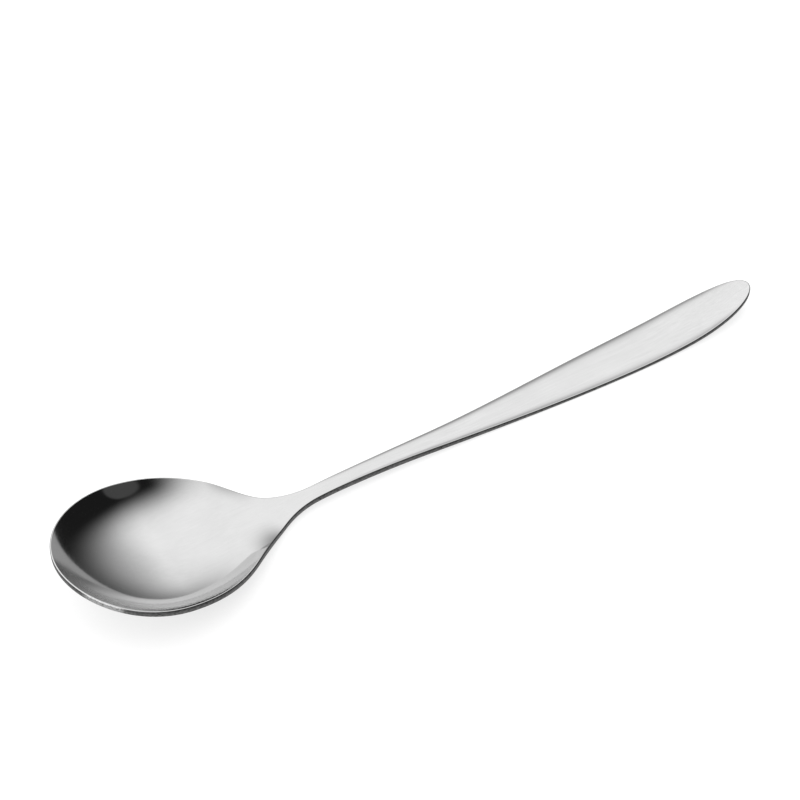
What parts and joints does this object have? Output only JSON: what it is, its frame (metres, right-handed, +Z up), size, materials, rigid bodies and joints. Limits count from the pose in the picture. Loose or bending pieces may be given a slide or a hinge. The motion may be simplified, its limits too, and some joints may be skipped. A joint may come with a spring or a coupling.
{
  "type": "soup spoon",
  "caption": "Plain stainless steel soup spoon: an egg-shaped bowl that runs into a slim neck and a flat handle with a rounded, upturned end.",
  "frame": {"origin": "centre of the bounding box's bottom face: on the table, midway between the bowl's tip and the handle's end, in the plane of symmetry", "axes": "+X along the spoon from the bowl's tip to the handle's end, +Y across it, +Z up from the table that it lies on"},
  "size_m": [0.205, 0.0426, 0.019],
  "materials": {
    "steel": "polished in the bowl, fine satin along the handle"
  },
  "bodies": {
    "root": {"spoon": "steel"}
  },
  "joints": []
}
